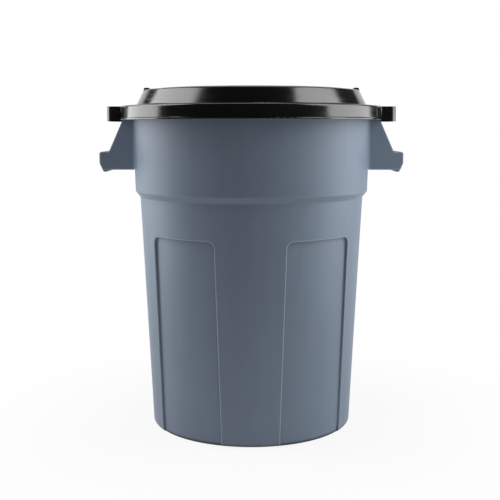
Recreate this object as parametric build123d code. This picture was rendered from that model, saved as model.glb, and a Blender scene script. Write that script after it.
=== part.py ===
from build123d import *
import math
import os

# A round utility trash can of about 120 litres, with its lift-off lid.
# Millimetres, +Z up, origin at the centre of the circle that the foot stands on.
# The front is towards -Y, and the two carrying handles are at -X and +X.

# Walls of the can and the lid
CAN_WALL = 3.0
FLOOR_THICKNESS = 3.5
LID_WALL = 3.0

# Can: heights above the floor, and outside radii
CAN_HEIGHT = 692.0
FOOT_RECESS = 6.0
FOOT_INNER_RADIUS = 198.0
FOOT_SLOPE_WIDTH = 5.0
FOOT_INNER_BEND = 3.0
FOOT_EDGE = 2.0
BASE_RADIUS = 218.7
BASE_CORNER = 8.0
STEP_FOOT_HEIGHT = 501.0
STEP_FOOT_RADIUS = 242.6
COLLAR_FOOT_HEIGHT = 513.0
COLLAR_FOOT_RADIUS = 252.6
COLLAR_TOP_RADIUS = 256.9
STEP_BEND = 5.0
COLLAR_INNER_BEND = 7.0
WALL_BEND = 3.0
GATE_RADIUS = 9.0
GATE_HEIGHT = 2.0

# Rim of the can: a flat flange with its edge turned down
RIM_RADIUS = 276.5
RIM_DROP = 16.0
RIM_EDGE = 4.0
RIM_FOOT_EDGE = 0.8

# Recessed panels, two in front and two behind
PANEL_ANGLE = 37.8
PANEL_HALF_WIDTH = 80.5
PANEL_TOP = 424.0
PANEL_TOP_CORNER = 14.0
PANEL_DEPTH_TOP = 6.2
PANEL_DEPTH_FOOT = 4.8
PANEL_FILLET = 2.0
PANEL_MARGIN = 30.0
PANEL_CUT_START = 150.0
PANEL_CUT_LENGTH = 150.0

# Handles: two end webs that carry a hooked grip
HANDLE_HALF_LENGTH = 62.0
WEB_THICKNESS = 3.5
WEB_ROOT = 244.5
WEB_FOOT_HEIGHT = 560.0
WEB_SLOPE_TOP = (274.5, 661.0)
WEB_NECK = (268.5, 665.0)
WEB_ROOT_FILLET = 11.0
WEB_INNER_FILLET = 5.0
WEB_SLOPE_EDGE = 1.0
GRIP_TOP_HEIGHT = 598.0
GRIP_INNER = 302.6
GRIP_OUTER = 323.0
GRIP_WALL_FOOT = 574.0
GRIP_WEB_FOOT = (317.0, 560.0)
GRIP_HEM = (315.0, 555.5)
GRIP_HEM_TIP = (308.5, 555.5)
GRIP_CORNER = 5.0
GRIP_WALL_BEND = 8.0
GRIP_WALL_INNER_BEND = 6.0
GRIP_HEM_BEND = 3.0
GRIP_HEM_INNER_BEND = 1.0
GRIP_LEDGE_BEND = 2.0
GRIP_LIP_EDGE = 1.4
GRIP_THICKNESS = 3.2

# Lid: heights above the floor, and outside radii
LID_SEAT = CAN_HEIGHT
SKIRT_FOOT = 665.0
SKIRT_FOOT_RADIUS = 283.0
SKIRT_TOP_RADIUS = 281.6
SKIRT_EDGE = 4.0
SKIRT_LIP = 1.4
SKIRT_LIP_HEIGHT = 3.5
DRUM_FOOT_RADIUS = 249.5
DRUM_TOP_RADIUS = 232.5
DRUM_TOP = 728.5
DRUM_EDGE = 4.0
PLATFORM_RADIUS = 206.0
PLATFORM_RISE = 2.5
PLATFORM_SLOPE = 4.0
LID_FILLET = 5.0
SKIRT_FOOT_EDGE = 1.0
SKIRT_INNER_BEND = 2.0
DRUM_INNER_BEND = 3.0
PLATFORM_BEND = 2.0
PLATFORM_INNER_BEND = 1.0

# Stacking lugs: low stops on the drum's edge above the handles, just outside the foot of a can that
# is stacked on the lid
LUG_HALF_WIDTH = 24.0
LUG_INNER = 219.5
LUG_OUTER = 230.0
LUG_RISE = 5.5
LUG_SLOPE_WIDTH = 3.0
LUG_SINK = 4.5
LUG_EDGE = 1.5

# Pull tabs of the lid, above the handles
TAB_HALF_LENGTH = 65.0
TAB_OUTER = 306.5
TAB_FOOT = 662.0
TAB_TOP = 693.6
TAB_CORNER = 12.5
TAB_TOP_EDGE = 2.0
TAB_ROOT = 262.0
TAB_ROOT_FILLET = 3.0

# How far joined shapes run into each other, how far a cut runs past what it cuts, and how near an
# edge must lie to be picked
JOIN_OVERLAP = 1.0
ROOT_OVERLAP = 1.5
CUT_PAST = 10.0
EDGE_TOLERANCE = 0.3


def turned(points, radii):
    """Solid of revolution about Z from (radius, height) points, first and last on the axis."""
    corners = [(radius, 0, height) for radius, height in points]
    outline = FilletPolyline(*corners, radius=radii)
    axis_line = Line(corners[-1], corners[0])
    return revolve(make_face(outline.edges() + axis_line.edges()), Axis.Z)


def lower_wall_radius(height):
    """Outside radius of the tapered lower wall at a height."""
    share = height / STEP_FOOT_HEIGHT
    return BASE_RADIUS + (STEP_FOOT_RADIUS - BASE_RADIUS) * share


def can_outside():
    """The can as if it were solid, with its foot ring, step, collar and turned-down rim."""
    flange_under = CAN_HEIGHT - CAN_WALL
    rim_inner = RIM_RADIUS - CAN_WALL
    rim_foot = CAN_HEIGHT - RIM_DROP
    points = [
        (0, FOOT_RECESS),
        (FOOT_INNER_RADIUS, FOOT_RECESS),
        (FOOT_INNER_RADIUS + FOOT_SLOPE_WIDTH, 0),
        (BASE_RADIUS, 0),
        (STEP_FOOT_RADIUS, STEP_FOOT_HEIGHT),
        (COLLAR_FOOT_RADIUS, COLLAR_FOOT_HEIGHT),
        (COLLAR_TOP_RADIUS, flange_under),
        (rim_inner, flange_under),
        (rim_inner, rim_foot),
        (RIM_RADIUS, rim_foot),
        (RIM_RADIUS, CAN_HEIGHT),
        (0, CAN_HEIGHT),
    ]
    wall_radii = [FOOT_INNER_BEND, FOOT_EDGE, BASE_CORNER, STEP_BEND, STEP_BEND, WALL_BEND]
    rim_radii = [0, RIM_FOOT_EDGE, RIM_FOOT_EDGE, RIM_EDGE]
    return turned(points, wall_radii + rim_radii)


def can_inside():
    """The space inside the can, one wall thickness in from the outside."""
    above_rim = CAN_HEIGHT + CUT_PAST
    mouth_radius = COLLAR_TOP_RADIUS - CAN_WALL
    points = [
        (0, FOOT_RECESS + FLOOR_THICKNESS),
        (BASE_RADIUS - CAN_WALL, FOOT_RECESS + FLOOR_THICKNESS),
        (STEP_FOOT_RADIUS - CAN_WALL, STEP_FOOT_HEIGHT + JOIN_OVERLAP),
        (COLLAR_FOOT_RADIUS - CAN_WALL, COLLAR_FOOT_HEIGHT + JOIN_OVERLAP),
        (mouth_radius, CAN_HEIGHT),
        (mouth_radius + CUT_PAST, CAN_HEIGHT),
        (mouth_radius + CUT_PAST, above_rim),
        (0, above_rim),
    ]
    return turned(points, [BASE_CORNER, WALL_BEND, COLLAR_INNER_BEND, WALL_BEND, 0, 0])


def radial_directions(angle):
    """Unit vectors outward and sideways at an angle from the front, seen from above."""
    turn = math.radians(angle)
    outward = Vector(math.sin(turn), -math.cos(turn), 0)
    sideways = Vector(math.cos(turn), math.sin(turn), 0)
    return outward, sideways


def panel_face_radius(height, inset):
    """Radius of the cone that the four panel faces lie on."""
    share = height / PANEL_TOP
    foot_radius = BASE_RADIUS - PANEL_DEPTH_FOOT - inset
    top_radius = lower_wall_radius(PANEL_TOP) - PANEL_DEPTH_TOP - inset
    return foot_radius + (top_radius - foot_radius) * share


def panel_recess(angle, inset):
    """What one panel takes out of the wall; inset moves its faces in for the inside wall."""
    half_width = PANEL_HALF_WIDTH + inset
    top = PANEL_TOP + inset
    low = -PANEL_MARGIN / 2
    corner = PANEL_TOP_CORNER + inset
    corners = [(-half_width, low), (-half_width, top), (half_width, top), (half_width, low)]
    sides = FilletPolyline(*corners, radius=[corner, corner])
    outline = make_face(sides.edges() + Line(corners[-1], corners[0]).edges())
    outward, sideways = radial_directions(angle)
    plane = Plane(origin=outward * PANEL_CUT_START, x_dir=sideways, z_dir=outward)
    core_low = -PANEL_MARGIN
    core_high = PANEL_TOP + PANEL_MARGIN
    core_points = [
        (0, core_low),
        (panel_face_radius(core_low, inset), core_low),
        (panel_face_radius(core_high, inset), core_high),
        (0, core_high),
    ]
    block = extrude(plane * outline, PANEL_CUT_LENGTH) - turned(core_points, [0, 0])
    face_edges = []
    for edge in block.edges():
        middle = edge @ 0.5
        off_face = math.hypot(middle.X, middle.Y) - panel_face_radius(middle.Z, inset)
        if abs(off_face) < EDGE_TOLERANCE and middle.Z > 0:
            face_edges.append(edge)
    return block.fillet(PANEL_FILLET, face_edges)


def panelled(body, inset):
    """The body with the four panels taken out of it."""
    for angle in (-PANEL_ANGLE, PANEL_ANGLE, 180 - PANEL_ANGLE, 180 + PANEL_ANGLE):
        body = body - panel_recess(angle, inset)
    return body


def round_panel_rims(body):
    """Round the edges where the four recesses meet the outside of the lower wall."""
    rims = []
    for edge in body.edges():
        middle = edge @ 0.5
        off_wall = math.hypot(middle.X, middle.Y) - lower_wall_radius(middle.Z)
        on_panel = BASE_CORNER < middle.Z < PANEL_TOP + EDGE_TOLERANCE
        if on_panel and abs(off_wall) < EDGE_TOLERANCE and edge.geom_type != GeomType.LINE:
            rims.append(edge)
    return body.fillet(PANEL_FILLET, rims)


def root_fill(face_offset, side, radius, round_radius, low, high):
    """Concave corner between a wall facing sideways and a round wall, at the +X end.

    face_offset is the wall face's Y, and side is the way it faces, -1 or +1.
    """
    centre_y = face_offset + side * radius
    centre_x = math.sqrt((round_radius + radius) ** 2 - centre_y**2)
    centre = Vector(centre_x, centre_y)
    on_face = Vector(centre_x, face_offset)
    on_round = centre * (round_radius / (round_radius + radius))
    middle = centre - (centre * 2 - on_face - on_round).normalized() * radius
    inside_y = face_offset - side * ROOT_OVERLAP
    inside_round = on_round * ((round_radius - ROOT_OVERLAP) / round_radius)
    corner_x = math.sqrt((round_radius - ROOT_OVERLAP) ** 2 - inside_y**2)
    curve = ThreePointArc(on_face, middle, on_round)
    rest = Polyline(on_round, inside_round, (corner_x, inside_y), (centre_x, inside_y), on_face)
    outline = make_face(curve.edges() + rest.edges())
    return extrude(Pos(0, 0, low) * outline, high - low)


def handle():
    """One carrying handle at +X: two end webs, the grip between them, and its root fillets."""
    flange_under = CAN_HEIGHT - CAN_WALL
    web_points = [
        (WEB_ROOT, WEB_FOOT_HEIGHT),
        GRIP_WEB_FOOT,
        (GRIP_OUTER, GRIP_WALL_FOOT),
        (GRIP_OUTER, GRIP_TOP_HEIGHT),
        (GRIP_INNER, GRIP_TOP_HEIGHT),
        WEB_SLOPE_TOP,
        WEB_NECK,
        (WEB_NECK[0], flange_under),
        (WEB_ROOT, flange_under),
    ]
    web_radii = [
        0,
        GRIP_HEM_BEND,
        GRIP_WALL_BEND,
        GRIP_CORNER,
        GRIP_LEDGE_BEND,
        WEB_SLOPE_EDGE,
        WEB_SLOPE_EDGE,
        0,
        0,
    ]
    web_line = FilletPolyline(*web_points, radius=web_radii, close=True)
    web_face = Plane.XZ * make_face(web_line.edges())

    outer_wall = GRIP_OUTER - GRIP_THICKNESS
    ledge_under = GRIP_TOP_HEIGHT - GRIP_THICKNESS
    hem_top = GRIP_HEM[1] + GRIP_THICKNESS
    hem_inner_x = GRIP_HEM[0] - GRIP_THICKNESS / 2
    grip_points = [
        (GRIP_INNER, GRIP_TOP_HEIGHT),
        (GRIP_OUTER, GRIP_TOP_HEIGHT),
        (GRIP_OUTER, GRIP_WALL_FOOT),
        GRIP_HEM,
        GRIP_HEM_TIP,
        (GRIP_HEM_TIP[0], hem_top),
        (hem_inner_x, hem_top),
        (outer_wall, GRIP_WALL_FOOT),
        (outer_wall, ledge_under),
        (GRIP_INNER, ledge_under),
    ]
    grip_radii = [
        GRIP_LIP_EDGE,
        GRIP_CORNER,
        GRIP_WALL_BEND,
        GRIP_HEM_BEND,
        GRIP_LIP_EDGE,
        GRIP_LIP_EDGE,
        GRIP_HEM_INNER_BEND,
        GRIP_WALL_INNER_BEND,
        GRIP_LEDGE_BEND,
        GRIP_LIP_EDGE,
    ]
    grip_line = FilletPolyline(*grip_points, radius=grip_radii, close=True)
    grip_face = Plane.XZ * make_face(grip_line.edges())
    pieces = extrude(grip_face, HANDLE_HALF_LENGTH - WEB_THICKNESS / 2, both=True)

    collar_radius = COLLAR_FOOT_RADIUS + ROOT_OVERLAP / 2
    web_middle = HANDLE_HALF_LENGTH - WEB_THICKNESS / 2
    web_faces = (
        (HANDLE_HALF_LENGTH, 1, WEB_ROOT_FILLET),
        (HANDLE_HALF_LENGTH - WEB_THICKNESS, -1, WEB_INNER_FILLET),
    )
    for side in (-1, 1):
        web = extrude(web_face, WEB_THICKNESS / 2, both=True)
        pieces += Pos(0, side * web_middle, 0) * web
        for face, facing, radius in web_faces:
            pieces += root_fill(side * face, side * facing, radius, collar_radius, WEB_FOOT_HEIGHT, flange_under)
    return pieces


def build_can():
    """The moulded can: one wall all round, with its floor, panels, rim and handles."""
    body = round_panel_rims(panelled(can_outside(), 0))
    right_handle = handle()
    body = body + right_handle + right_handle.rotate(Axis.Z, 180)
    body = body - panelled(can_inside(), CAN_WALL)
    gate = extrude(Circle(GATE_RADIUS), GATE_HEIGHT + JOIN_OVERLAP)
    return body + Pos(0, 0, FOOT_RECESS - GATE_HEIGHT) * gate


def lid_outside():
    """The lid as if it were solid: its skirt, flat ring, drum and raised platform."""
    ring_top = LID_SEAT + LID_WALL
    lip_radius = SKIRT_FOOT_RADIUS + SKIRT_LIP
    lip_top = SKIRT_FOOT + SKIRT_LIP_HEIGHT
    platform_top = DRUM_TOP + PLATFORM_RISE
    points = [
        (0, SKIRT_FOOT),
        (lip_radius, SKIRT_FOOT),
        (lip_radius, lip_top),
        (SKIRT_FOOT_RADIUS, lip_top + SKIRT_LIP),
        (SKIRT_TOP_RADIUS, ring_top),
        (DRUM_FOOT_RADIUS, ring_top),
        (DRUM_TOP_RADIUS, DRUM_TOP),
        (PLATFORM_RADIUS + PLATFORM_SLOPE, DRUM_TOP),
        (PLATFORM_RADIUS, platform_top),
        (0, platform_top),
    ]
    skirt_radii = [SKIRT_FOOT_EDGE, SKIRT_FOOT_EDGE, 0, SKIRT_EDGE]
    drum_radii = [LID_FILLET, DRUM_EDGE, PLATFORM_BEND, PLATFORM_BEND]
    return turned(points, skirt_radii + drum_radii)


def lid_inside():
    """The space under the lid, one wall thickness in from the outside."""
    below = SKIRT_FOOT - CUT_PAST
    drum_slope = (DRUM_FOOT_RADIUS - DRUM_TOP_RADIUS) / (DRUM_TOP - LID_SEAT - LID_WALL)
    drum_wall = LID_WALL * math.hypot(1, drum_slope)
    under_drum = DRUM_TOP - LID_WALL
    under_platform = under_drum + PLATFORM_RISE
    points = [
        (0, below),
        (SKIRT_FOOT_RADIUS - LID_WALL, below),
        (SKIRT_FOOT_RADIUS - LID_WALL, SKIRT_FOOT + SKIRT_LIP_HEIGHT),
        (SKIRT_TOP_RADIUS - LID_WALL, LID_SEAT),
        (DRUM_FOOT_RADIUS - drum_wall, LID_SEAT),
        (DRUM_TOP_RADIUS - drum_wall, under_drum),
        (PLATFORM_RADIUS + PLATFORM_SLOPE - LID_WALL, under_drum),
        (PLATFORM_RADIUS - LID_WALL, under_platform),
        (0, under_platform),
    ]
    skirt_radii = [0, 0, SKIRT_INNER_BEND, DRUM_INNER_BEND]
    drum_radii = [DRUM_INNER_BEND, PLATFORM_INNER_BEND, PLATFORM_INNER_BEND]
    return turned(points, skirt_radii + drum_radii)


def tab_block(shrink, low, high):
    """Solid block of one pull tab at +X, shrunk by a wall thickness for its hollow."""
    outer = TAB_OUTER - shrink
    half = TAB_HALF_LENGTH - shrink
    corner = TAB_CORNER - shrink
    corners = [(TAB_ROOT, -half), (outer, -half), (outer, half), (TAB_ROOT, half)]
    outline = FilletPolyline(*corners, radius=[corner, corner])
    face = make_face(outline.edges() + Line(corners[-1], corners[0]).edges())
    return extrude(Pos(0, 0, low) * face, high - low)


def pull_tab(solid_lid):
    """One pull tab at +X: a box open below, joined to the skirt."""
    block = tab_block(0, TAB_FOOT, TAB_TOP)
    top_edges = block.edges().filter_by_position(Axis.Z, TAB_TOP - EDGE_TOLERANCE, TAB_TOP + EDGE_TOLERANCE)
    outer_edges = [edge for edge in top_edges if edge.center().X > TAB_ROOT + EDGE_TOLERANCE]
    block = block.fillet(TAB_TOP_EDGE, outer_edges)
    hollow = tab_block(LID_WALL, TAB_FOOT - CUT_PAST, TAB_TOP - LID_WALL) - solid_lid
    tab = block - hollow
    for side in (-1, 1):
        face = side * TAB_HALF_LENGTH
        tab += root_fill(face, side, TAB_ROOT_FILLET, SKIRT_TOP_RADIUS, SKIRT_FOOT, TAB_TOP - TAB_TOP_EDGE)
    return tab


def stacking_lug():
    """One low lug at +X on the drum's edge, solid, and the pocket that hollows it from below."""
    top = DRUM_TOP + LUG_RISE
    foot = DRUM_TOP - LUG_SINK
    points = [(LUG_INNER, foot), (LUG_OUTER + LUG_SLOPE_WIDTH, foot), (LUG_OUTER, top), (LUG_INNER, top)]
    section = FilletPolyline(*points, radius=[0, 0, LUG_EDGE, LUG_EDGE], close=True)
    lug = extrude(Plane.XZ * make_face(section.edges()), LUG_HALF_WIDTH, both=True)
    pocket_width = LUG_OUTER - LUG_INNER - 2 * LID_WALL
    pocket_length = 2 * (LUG_HALF_WIDTH - LID_WALL)
    pocket_depth = LUG_RISE + CUT_PAST
    pocket_place = Pos((LUG_INNER + LUG_OUTER) / 2, 0, top - LID_WALL - pocket_depth / 2)
    return lug, pocket_place * Box(pocket_width, pocket_length, pocket_depth)


def build_lid():
    """The moulded lid: skirt, ring, drum and platform, with a pull tab and a lug at each end."""
    solid_lid = lid_outside()
    right_tab = pull_tab(solid_lid)
    right_lug, right_pocket = stacking_lug()
    for turn in (0, 180):
        solid_lid += right_tab.rotate(Axis.Z, turn) + right_lug.rotate(Axis.Z, turn)
    lid = solid_lid - lid_inside()
    for turn in (0, 180):
        lid -= right_pocket.rotate(Axis.Z, turn)
    return lid


if __name__ == "__main__":
    os.makedirs("parts", exist_ok=True)
    export_step(build_can(), "parts/can.step")
    export_step(build_lid(), "parts/lid.step")
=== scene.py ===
import math

import bmesh
import bpy
from mathutils import Matrix

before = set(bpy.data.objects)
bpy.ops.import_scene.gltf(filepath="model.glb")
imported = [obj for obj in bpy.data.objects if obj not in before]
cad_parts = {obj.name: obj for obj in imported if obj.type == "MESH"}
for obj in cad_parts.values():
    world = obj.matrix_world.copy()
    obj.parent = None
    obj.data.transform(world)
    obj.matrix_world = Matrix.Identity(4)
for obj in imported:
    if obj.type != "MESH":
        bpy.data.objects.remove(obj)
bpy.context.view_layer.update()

# Camera. It stands in front of the can at a little below the height of the lid, as in the photograph,
# and is tilted down until the can sits in the middle of the frame. It is turned a trifle to the right
# of square, so that the two front panels sit as they do there.
camera_azimuth = math.radians(0.4)
camera_distance = 2.09
camera_height = 0.649
camera_tilt = math.radians(7.34)
camera_side_aim = math.radians(0.084)
camera_lens_mm = 68.4
camera_sensor_mm = 36.0

camera_data = bpy.data.cameras.new("camera")
camera_data.lens = camera_lens_mm
camera_data.sensor_width = camera_sensor_mm
camera = bpy.data.objects.new("camera", camera_data)
camera.location = (
    math.sin(camera_azimuth) * camera_distance,
    -math.cos(camera_azimuth) * camera_distance,
    camera_height,
)
camera.rotation_euler = (math.pi / 2 - camera_tilt, 0, camera_azimuth + camera_side_aim)
bpy.context.scene.collection.objects.link(camera)
bpy.context.scene.camera = camera
bpy.context.scene.view_settings.view_transform = "Standard"


# Studio. A plain pale floor and a white backdrop. Two soft box lamps stand close beside the can, one on
# each side, leaning forward a little. A dark domed curtain hangs all round except behind the can, as is
# usual for a photograph of glossy black plastic, so that the front of the lid stays black.
white = (1.0, 1.0, 1.0, 1.0)
white_strength = 1.0
ambient_strength = 0.20
floor_radius = 9.0
floor_sides = 96
floor_colour = (0.92, 0.92, 0.92, 1.0)
floor_whiteness = (0.88, 1.0)
shadow_fade = (0.25, 0.75)
curtain_radius = 3.7
curtain_sides = 96
curtain_steps = 72
curtain_foot = 0.01
curtain_left = math.radians(-140.0)
curtain_right = math.radians(140.0)
curtain_colour = (0.004, 0.004, 0.004, 1.0)


def node_adder(tree):
    """A function that adds one node to the tree, sets it up and links its inputs."""

    def add(kind, inputs=None, **settings):
        node = tree.nodes.new(kind)
        for key, value in settings.items():
            setattr(node, key, value)
        for key, value in (inputs or {}).items():
            if isinstance(value, bpy.types.NodeSocket):
                tree.links.new(value, node.inputs[key])
            else:
                node.inputs[key].default_value = value
        return node

    return add


def new_material(name):
    """An empty node material, and the function that adds nodes to it."""
    material = bpy.data.materials.new(name)
    material.use_nodes = True
    material.node_tree.nodes.clear()
    return material, node_adder(material.node_tree)


def combine(add, operation, first, *others):
    """Values put together one after the other, by MULTIPLY, MAXIMUM or ADD."""
    result = first
    for value in others:
        result = add("ShaderNodeMath", {0: result, 1: value}, operation=operation).outputs[0]
    return result


def ramp(add, value, reach, result=(0.0, 1.0)):
    """The value carried from one range, reach, into another, result, and held at its ends."""
    limits = {"From Min": reach[0], "From Max": reach[1], "To Min": result[0], "To Max": result[1]}
    return add("ShaderNodeMapRange", {"Value": value, **limits}).outputs[0]


def mix_shaders(add, share, first, second):
    """Two shaders mixed by a share from 0, all of the first, to 1, all of the second."""
    parts = {0: share, 1: first.outputs[0], 2: second.outputs[0]}
    return add("ShaderNodeMixShader", parts).outputs[0]


def seen_directly(add):
    """1 for what the camera sees, also in gloss and through glass, and 0 for light on the object."""
    rays = add("ShaderNodeLightPath").outputs
    straight = rays["Is Camera Ray"]
    in_gloss = rays["Is Glossy Ray"]
    through_glass = rays["Is Transmission Ray"]
    return combine(add, "MAXIMUM", straight, in_gloss, through_glass)


def build_world():
    """A weak even light on the object, and a backdrop that is seen as plain white."""
    world = bpy.data.worlds.new("studio")
    world.use_nodes = True
    world.node_tree.nodes.clear()
    add = node_adder(world.node_tree)
    light = add("ShaderNodeBackground", {"Color": white, "Strength": ambient_strength})
    backdrop = add("ShaderNodeBackground", {"Color": white, "Strength": white_strength})
    mix = mix_shaders(add, seen_directly(add), light, backdrop)
    add("ShaderNodeOutputWorld", {"Surface": mix})
    bpy.context.scene.world = world


def stage_piece(name, shape, material):
    """An object of the stage, made from a bmesh."""
    mesh = bpy.data.meshes.new(name)
    shape.to_mesh(mesh)
    shape.free()
    mesh.materials.append(material)
    piece = bpy.data.objects.new(name, mesh)
    bpy.context.scene.collection.objects.link(piece)
    return piece


def build_floor():
    """A round floor, white in the distance, which shows the can's shadow near its foot."""
    material, add = new_material("pale_floor")
    paint = add("ShaderNodeBsdfDiffuse", {"Color": floor_colour})
    glow = add("ShaderNodeEmission", {"Color": white, "Strength": white_strength})
    place = add("ShaderNodeTexCoord").outputs["Object"]
    distance = add("ShaderNodeVectorMath", {0: place}, operation="LENGTH").outputs["Value"]
    whiteness = ramp(add, distance, shadow_fade, floor_whiteness)
    share = combine(add, "MULTIPLY", seen_directly(add), whiteness)
    mix = mix_shaders(add, share, paint, glow)
    add("ShaderNodeOutputMaterial", {"Surface": mix})
    shape = bmesh.new()
    bmesh.ops.create_circle(shape, cap_ends=True, segments=floor_sides, radius=floor_radius)
    stage_piece("floor", shape, material)


def build_curtain():
    """A dark domed curtain round the sides and the front, which only gloss sees."""
    material, add = new_material("dark_curtain")
    cloth = add("ShaderNodeBsdfDiffuse", {"Color": curtain_colour})
    add("ShaderNodeOutputMaterial", {"Surface": cloth.outputs[0]})
    shape = bmesh.new()
    bmesh.ops.create_circle(shape, cap_ends=False, segments=curtain_sides, radius=curtain_radius)
    upright = Matrix.Rotation(math.pi / 2, 3, "Y")
    bmesh.ops.rotate(shape, verts=shape.verts, matrix=upright)
    below_its_foot = ((0, 0, curtain_foot), (0, 0, -1))
    the_other_half = ((0, 0, 0), (0, 1, 0))
    for point, outward in (below_its_foot, the_other_half):
        hoop = shape.verts[:] + shape.edges[:]
        bmesh.ops.bisect_plane(shape, geom=hoop, plane_co=point, plane_no=outward, clear_outer=True)
    to_the_left = Matrix.Rotation(curtain_left, 3, "Z")
    bmesh.ops.rotate(shape, verts=shape.verts, matrix=to_the_left)
    arc = shape.verts[:] + shape.edges[:]
    bmesh.ops.spin(
        shape,
        geom=arc,
        cent=(0, 0, 0),
        axis=(0, 0, 1),
        angle=curtain_right - curtain_left,
        steps=curtain_steps,
    )
    curtain = stage_piece("curtain", shape, material)
    curtain.visible_camera = False
    curtain.visible_diffuse = False
    curtain.visible_shadow = False


def soft_lamp(name, place, width, height, lean, power):
    """A soft box lamp standing beside the can, facing it, with its top leaning forward."""
    data = bpy.data.lights.new(name, "AREA")
    data.shape = "RECTANGLE"
    data.size = height
    data.size_y = width
    data.energy = power
    lamp = bpy.data.objects.new(name, data)
    lamp.location = place
    lamp.rotation_mode = "ZYX"
    lamp.rotation_euler = (math.radians(lean), math.copysign(math.pi / 2, place[0]), 0)
    lamp.visible_camera = False
    bpy.context.scene.collection.objects.link(lamp)


build_world()
build_floor()
build_curtain()
soft_lamp("left_lamp", place=(-0.95, 0.04, 1.12), width=0.80, height=1.8, lean=15.0, power=14.5)
soft_lamp("right_lamp", place=(0.95, -0.265, 1.12), width=0.81, height=1.8, lean=22.0, power=13.5)


# Can. One injection moulding of slate blue-grey polyethylene: the wall, floor, panels, collar, rim and
# handles come out of the mould together, with a fine satin grain all over. The foot of its wall is
# scuffed by floors. Its convex edges carry a painted highlight, and painted shade darkens its inside
# corners and the underside of its foot.
can_colour = (0.190, 0.242, 0.316, 1.0)
can_roughness = (0.48, 0.55)
can_gloss = 0.4
can_ior = 1.5
noise_middle = (0.3, 0.7)
mottles_per_metre = 7.0
mottle_detail = 4.0
mottle_tone = (0.955, 1.045)
specks_per_metre = 420.0
speck_detail = 2.0
speck_tone = (0.975, 1.025)
flow_stretch = (46.0, 46.0, 3.0)
flow_detail = 3.0
flow_middle = (0.35, 0.65)
flow_tone = (0.98, 1.02)
# The scuff colour, used for the real scuffs at the foot and also for the painted highlight on edges.
scuff_and_highlight_colour = (0.420, 0.480, 0.550, 1.0)
scuff_stretch = (14.0, 14.0, 420.0)
scuff_detail = 4.0
scuff_peaks = (0.60, 0.72)
scuff_height = 0.055
scuff_strength = 0.4
scuff_roughness = 0.15
# Painted shade: the colour that darkens the inside corners and the underside of the foot.
painted_shade_colour = (0.028, 0.033, 0.040, 1.0)
corner_reach = 0.010
corner_samples = 12
corner_openness = (0.45, 0.92)
corner_shade = 0.30
# Painted shade under the foot: nearly black at the bottom, fading out by 8 mm up the wall.
foot_height = (0.0022, 0.0080)
foot_shade = 0.97
# Painted highlight: how far in, and how strongly, convex edges are painted lighter.
edge_reach = 0.0026
edge_samples = 16
edge_depth = (0.82, 0.985)
edge_highlight = 0.90
highlight_patches = (0.3, 0.6)
patch_highlight = (0.7, 1.0)
grains_per_metre = 1500.0
grain_detail = 3.0
grain_strength = 0.5
grain_depth = 0.00008
sags_per_metre = 14.0
sag_detail = 1.0
sag_strength = 0.2
sag_depth = 0.0015


def noise(add, place, per_metre, detail):
    """Soft noise, with so many patches to a metre."""
    patches = {"Vector": place, "Scale": per_metre, "Detail": detail}
    return add("ShaderNodeTexNoise", patches).outputs["Fac"]


def streaks(add, place, stretch, detail):
    """Noise drawn out into streaks, finest along the axis with the largest stretch."""
    drawn = add("ShaderNodeMapping", {"Vector": place, "Scale": stretch}).outputs[0]
    return noise(add, drawn, 1.0, detail)


def blend_colour(add, share, first, second):
    """Two colours, on the Mix node's sockets 6 and 7, mixed by a share from 0 to 1."""
    return add("ShaderNodeMix", {0: share, 6: first, 7: second}, data_type="RGBA").outputs[2]


def moulded_surface(add, colour, roughness, relief, ior, gloss):
    """The shader of a moulded plastic, given to its material."""
    surface = {"Base Color": colour, "Roughness": roughness, "Normal": relief, "IOR": ior}
    surface["Specular IOR Level"] = gloss
    shader = add("ShaderNodeBsdfPrincipled", surface)
    add("ShaderNodeOutputMaterial", {"Surface": shader.outputs[0]})


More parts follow.
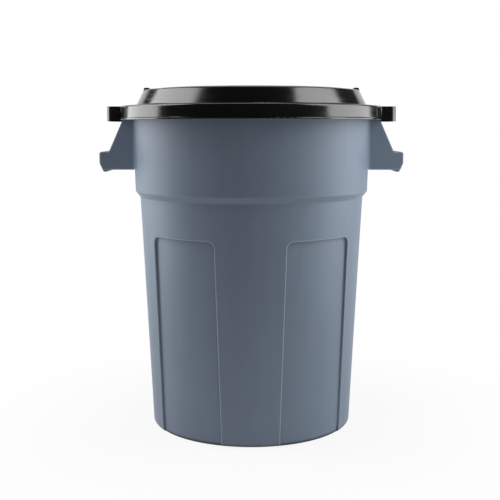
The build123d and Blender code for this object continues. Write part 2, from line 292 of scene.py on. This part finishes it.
def can_plastic():
    """Satin blue-grey plastic: its tone, its scuffs, painted shade in corners and under the foot,
    painted highlight on edges, and its grain.
    """
    material, add = new_material("can_plastic_satin")
    place = add("ShaderNodeTexCoord").outputs["Object"]
    height = add("ShaderNodeSeparateXYZ", {0: place}).outputs["Z"]

    mottle = noise(add, place, mottles_per_metre, mottle_detail)
    speck = noise(add, place, specks_per_metre, speck_detail)
    flow = streaks(add, place, flow_stretch, flow_detail)
    mottled = ramp(add, mottle, noise_middle, mottle_tone)
    speckled = ramp(add, speck, noise_middle, speck_tone)
    flowed = ramp(add, flow, flow_middle, flow_tone)
    tone = combine(add, "MULTIPLY", mottled, speckled, flowed)
    clean = add("ShaderNodeVectorMath", {0: can_colour[:3], 3: tone}, operation="SCALE").outputs[0]

    scuff_marks = ramp(add, streaks(add, place, scuff_stretch, scuff_detail), scuff_peaks)
    near_foot = ramp(add, height, (0.0, scuff_height), (1.0, 0.0))
    scuffs = combine(add, "MULTIPLY", scuff_marks, near_foot)
    scuff_share = combine(add, "MULTIPLY", scuffs, scuff_strength)
    scuffed = blend_colour(add, scuff_share, clean, scuff_and_highlight_colour)

    # Painted shade: inside corners, found by ambient occlusion, and the underside of the foot are
    # darkened in the colour.
    open_air = add("ShaderNodeAmbientOcclusion", {"Distance": corner_reach}, samples=corner_samples)
    shade_in_corner = ramp(add, open_air.outputs["AO"], corner_openness, (corner_shade, 0.0))
    shade_at_foot = ramp(add, height, foot_height, (foot_shade, 0.0))
    painted_shade = combine(add, "MAXIMUM", shade_in_corner, shade_at_foot)

    # Painted highlight: convex edges, found by ambient occlusion into the wall, are painted lighter in
    # patches.
    into_wall = {"Distance": edge_reach}
    wall_depth = add("ShaderNodeAmbientOcclusion", into_wall, samples=edge_samples, inside=True)
    highlight_near_edge = ramp(add, wall_depth.outputs["AO"], edge_depth, (edge_highlight, 0.0))
    in_patches = ramp(add, mottle, highlight_patches, patch_highlight)
    painted_edge_highlight = combine(add, "MULTIPLY", highlight_near_edge, in_patches)
    highlighted = blend_colour(add, painted_edge_highlight, scuffed, scuff_and_highlight_colour)
    colour = blend_colour(add, painted_shade, highlighted, painted_shade_colour)

    satin = ramp(add, mottle, noise_middle, can_roughness)
    scratched = combine(add, "MULTIPLY", scuffs, scuff_roughness)
    roughness = combine(add, "ADD", satin, scratched)
    grain = noise(add, place, grains_per_metre, grain_detail)
    sag = noise(add, place, sags_per_metre, sag_detail)
    waves = {"Height": sag, "Strength": sag_strength, "Distance": sag_depth}
    waved = add("ShaderNodeBump", waves).outputs[0]
    grains = {"Height": grain, "Normal": waved, "Strength": grain_strength, "Distance": grain_depth}
    relief = add("ShaderNodeBump", grains).outputs[0]
    moulded_surface(add, colour, roughness, relief, can_ior, can_gloss)
    return material


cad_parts["can"].material_slots[0].material = can_plastic()


# Lid. One injection moulding of black polypropylene from a polished mould: skirt, ring, drum,
# platform, lugs and pull tabs. Its flat tops are grained matt. It lies loose on the can's rim. Wiping
# has left faint streaks round the skirt, and a little dust lies on what faces up.
lid_colour = (0.010, 0.010, 0.011, 1.0)
lid_gloss = 1.0
lid_ior = 1.55
hazes_per_metre = 18.0
haze_detail = 5.0
haze_strength = (0.8, 1.2)
wipe_stretch = (10.0, 10.0, 520.0)
wipe_detail = 3.0
wipe_middle = (0.35, 0.7)
wipe_roughness = (0.13, 0.21)
flat_top = (0.85, 0.98)
matt_top = 0.42
dust_colour = (0.110, 0.110, 0.108, 1.0)
dust_per_metre = 900.0
dust_detail = 2.0
dust_peaks = (0.62, 0.75)
dust_slope = (0.3, 0.95)
dust_strength = 0.35
peels_per_metre = 55.0
peel_detail = 2.0
peel_strength = 0.2
peel_depth = 0.0002


def lid_plastic():
    """Polished black plastic with matt flat tops: its dust, its haze and wiping, and its ripple."""
    material, add = new_material("lid_plastic_gloss")
    coordinates = add("ShaderNodeTexCoord").outputs
    place = coordinates["Object"]
    upward = add("ShaderNodeSeparateXYZ", {0: coordinates["Normal"]}).outputs["Z"]

    haze = noise(add, place, hazes_per_metre, haze_detail)
    wipes = streaks(add, place, wipe_stretch, wipe_detail)
    dust = noise(add, place, dust_per_metre, dust_detail)
    loose_dust = ramp(add, dust, dust_peaks)
    facing_up = ramp(add, upward, dust_slope, (0.0, dust_strength))
    settled = combine(add, "MULTIPLY", loose_dust, facing_up)
    colour = blend_colour(add, settled, lid_colour, dust_colour)

    hazed = ramp(add, haze, noise_middle, haze_strength)
    wiped = ramp(add, wipes, wipe_middle, wipe_roughness)
    polished = combine(add, "MULTIPLY", hazed, wiped)
    matt = ramp(add, upward, flat_top, (0.0, matt_top))
    roughness = combine(add, "ADD", polished, matt)
    peel = noise(add, place, peels_per_metre, peel_detail)
    ripple = {"Height": peel, "Strength": peel_strength, "Distance": peel_depth}
    relief = add("ShaderNodeBump", ripple).outputs[0]
    moulded_surface(add, colour, roughness, relief, lid_ior, lid_gloss)
    return material


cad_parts["lid"].material_slots[0].material = lid_plastic()
